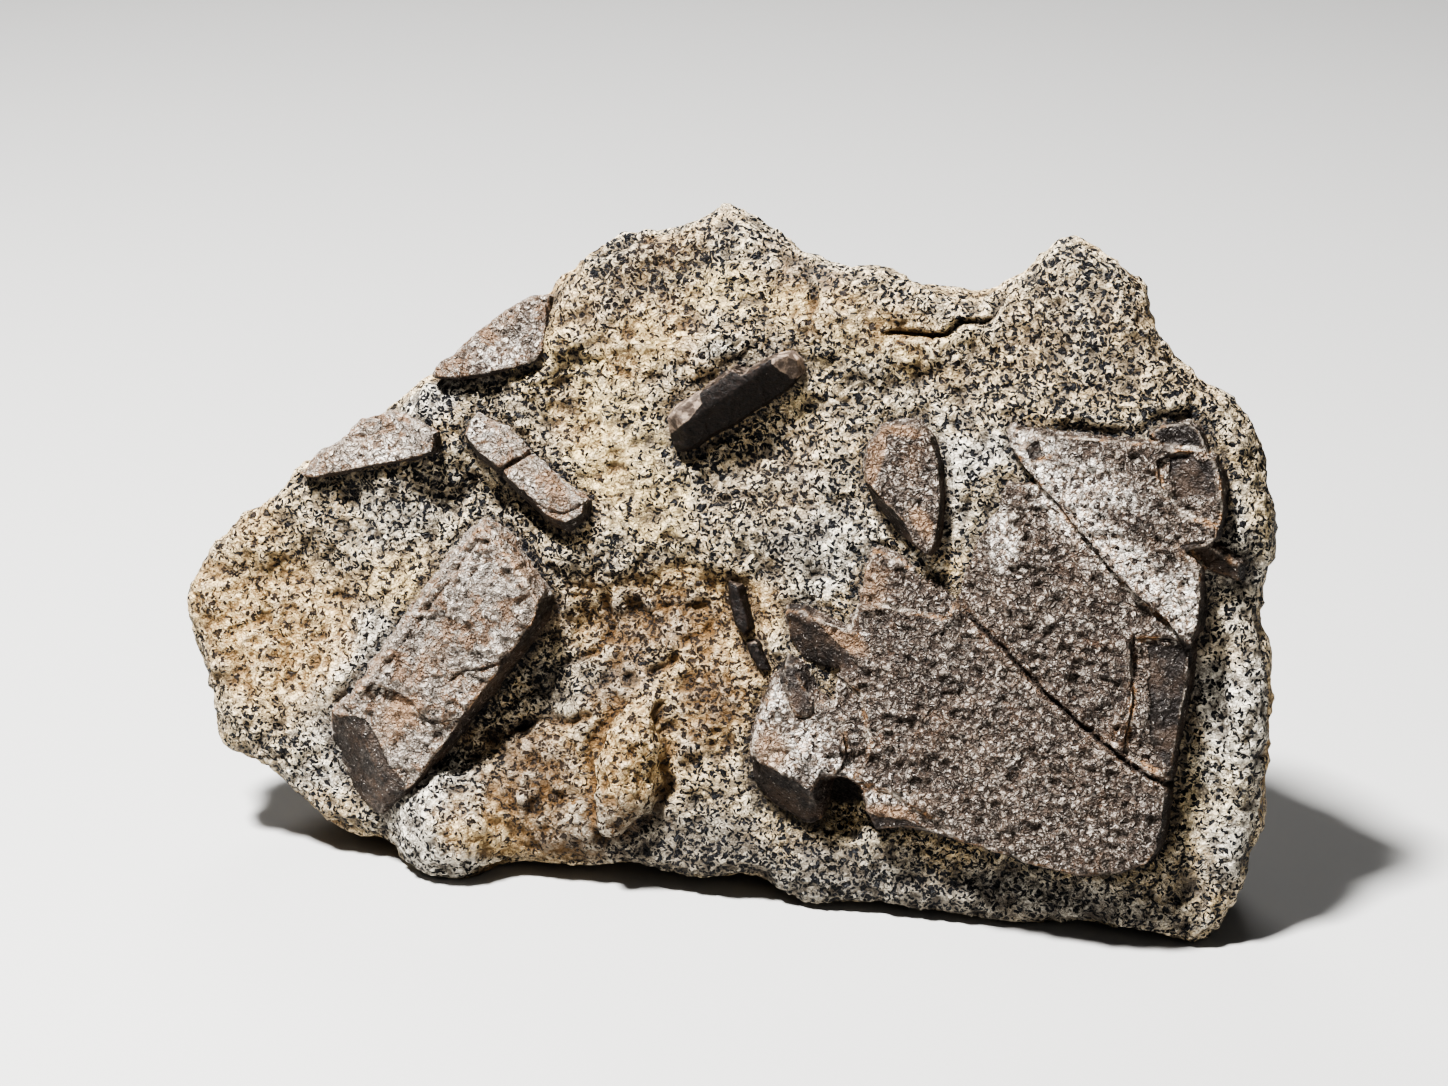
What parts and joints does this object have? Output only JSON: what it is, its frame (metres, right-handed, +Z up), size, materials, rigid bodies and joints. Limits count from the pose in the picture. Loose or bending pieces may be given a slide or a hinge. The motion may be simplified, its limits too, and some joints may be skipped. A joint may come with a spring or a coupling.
{
  "type": "staurolite schist specimen",
  "caption": "Speckled pale mica schist slab standing on its lower edge, with brown flat-faced staurolite blades, crossed plates and a six-sided crystal grown in its front.",
  "frame": {"origin": "on the floor under the middle of the stone's bounding box", "axes": "+X along the stone's length to the right as seen from the crystal face, which looks towards -Y and leans back, and +Z up"},
  "size_m": [0.1616, 0.0498, 0.097],
  "materials": {
    "schist": "rough pale mica schist with black flecks and ochre stains",
    "staurolite": "grey-brown staurolite faces with pale mica specks",
    "dark_staurolite": "fresh near-black broken staurolite"
  },
  "bodies": {
    "root": {"schist_matrix": "schist", "staurolite_left_blade": "staurolite", "staurolite_bar": "staurolite", "staurolite_lower_rim_blade": "staurolite", "staurolite_upper_rim_blade": "staurolite", "staurolite_black_blade": "dark_staurolite", "staurolite_six_sided_crystal": "staurolite", "staurolite_plate_cluster": "staurolite", "staurolite_upper_lath": "dark_staurolite", "staurolite_lower_lath": "dark_staurolite"}
  },
  "joints": []
}
